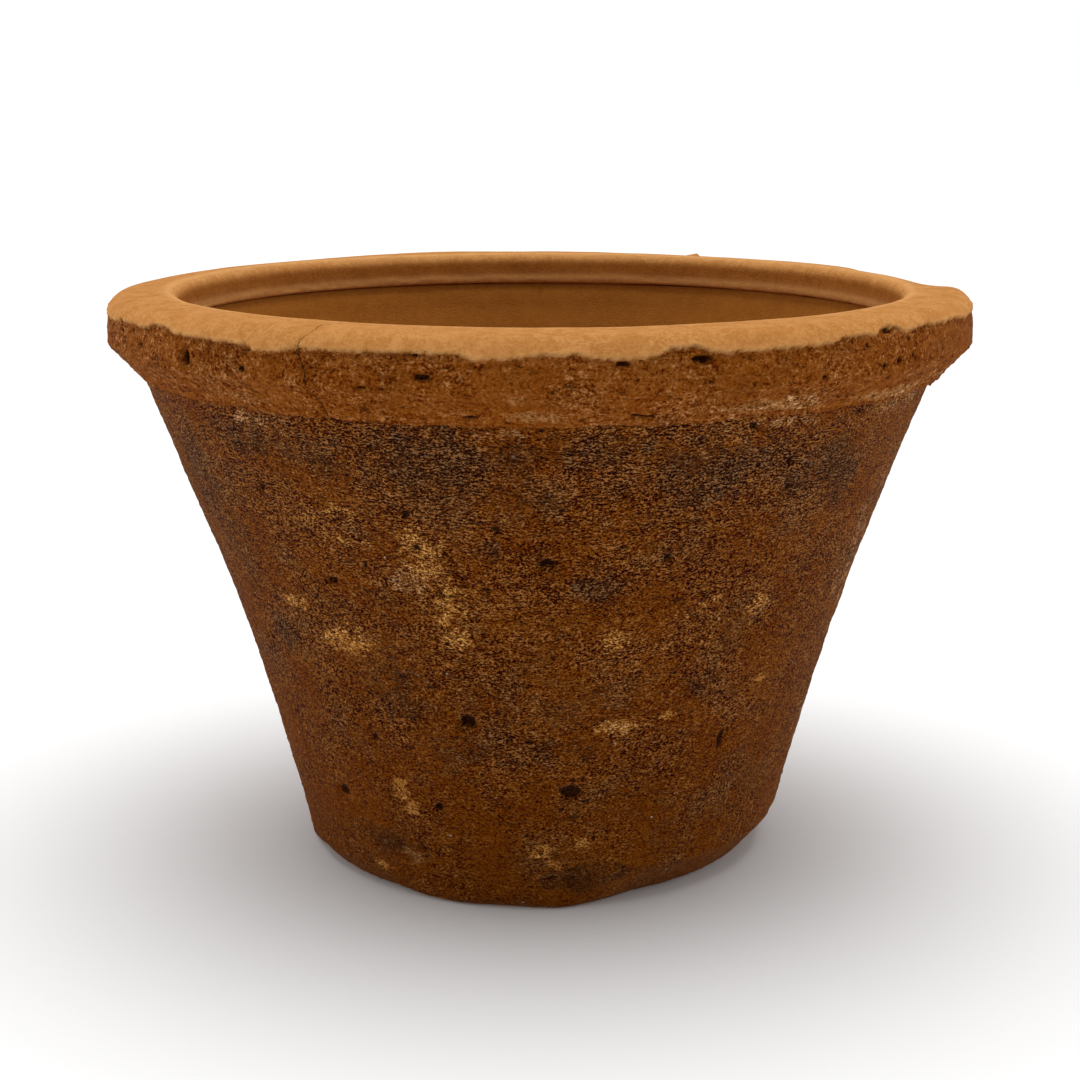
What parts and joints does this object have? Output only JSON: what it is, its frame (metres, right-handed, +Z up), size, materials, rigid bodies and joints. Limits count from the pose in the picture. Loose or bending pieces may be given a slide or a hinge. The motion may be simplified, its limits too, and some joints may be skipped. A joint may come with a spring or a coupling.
{
  "type": "plant pot",
  "caption": "Round terracotta plant pot: flared wall on a floor disc with a drain hole, and a heavy collar lapped over the top.",
  "frame": {"origin": "centre of the foot, on the ground", "axes": "+Z up the pot's axis towards the mouth; the pot is round, so +X and +Y are any two level directions"},
  "size_m": [0.3, 0.3, 0.2],
  "materials": {
    "body_clay": "coarse gritty low-fired terracotta, dark brown and unglazed, with ochre stains and pits",
    "rim_clay": "the same terracotta, wiped smooth and paler on top, dark and gritty on its outer face"
  },
  "bodies": {
    "root": {"floor_disc": "body_clay", "wall": "body_clay", "rim_collar": "rim_clay"}
  },
  "joints": []
}
